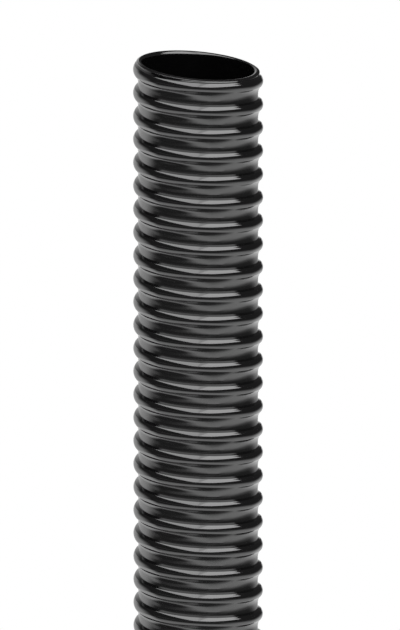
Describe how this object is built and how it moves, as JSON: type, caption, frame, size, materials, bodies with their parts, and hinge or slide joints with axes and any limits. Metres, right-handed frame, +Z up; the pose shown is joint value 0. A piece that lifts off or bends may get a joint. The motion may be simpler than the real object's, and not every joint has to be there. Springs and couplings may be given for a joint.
{
  "type": "suction hose",
  "caption": "Cut length of stiff black suction hose with a smooth round bore and a raised helical rib outside, one end cut square and the other on a slight slope.",
  "frame": {"origin": "middle of the square-cut standing end, on the hose's axis", "axes": "+Z up along the hose's axis, +X towards the low side of the sloped upper cut, -Y towards the viewer of the picture"},
  "size_m": [0.1146, 0.1146, 1.0055],
  "materials": {
    "hose_black": "glossy black soft plastic, smooth from the mould, slightly wavy between the turns of the rib"
  },
  "bodies": {
    "root": {"hose": "hose_black"}
  },
  "joints": []
}
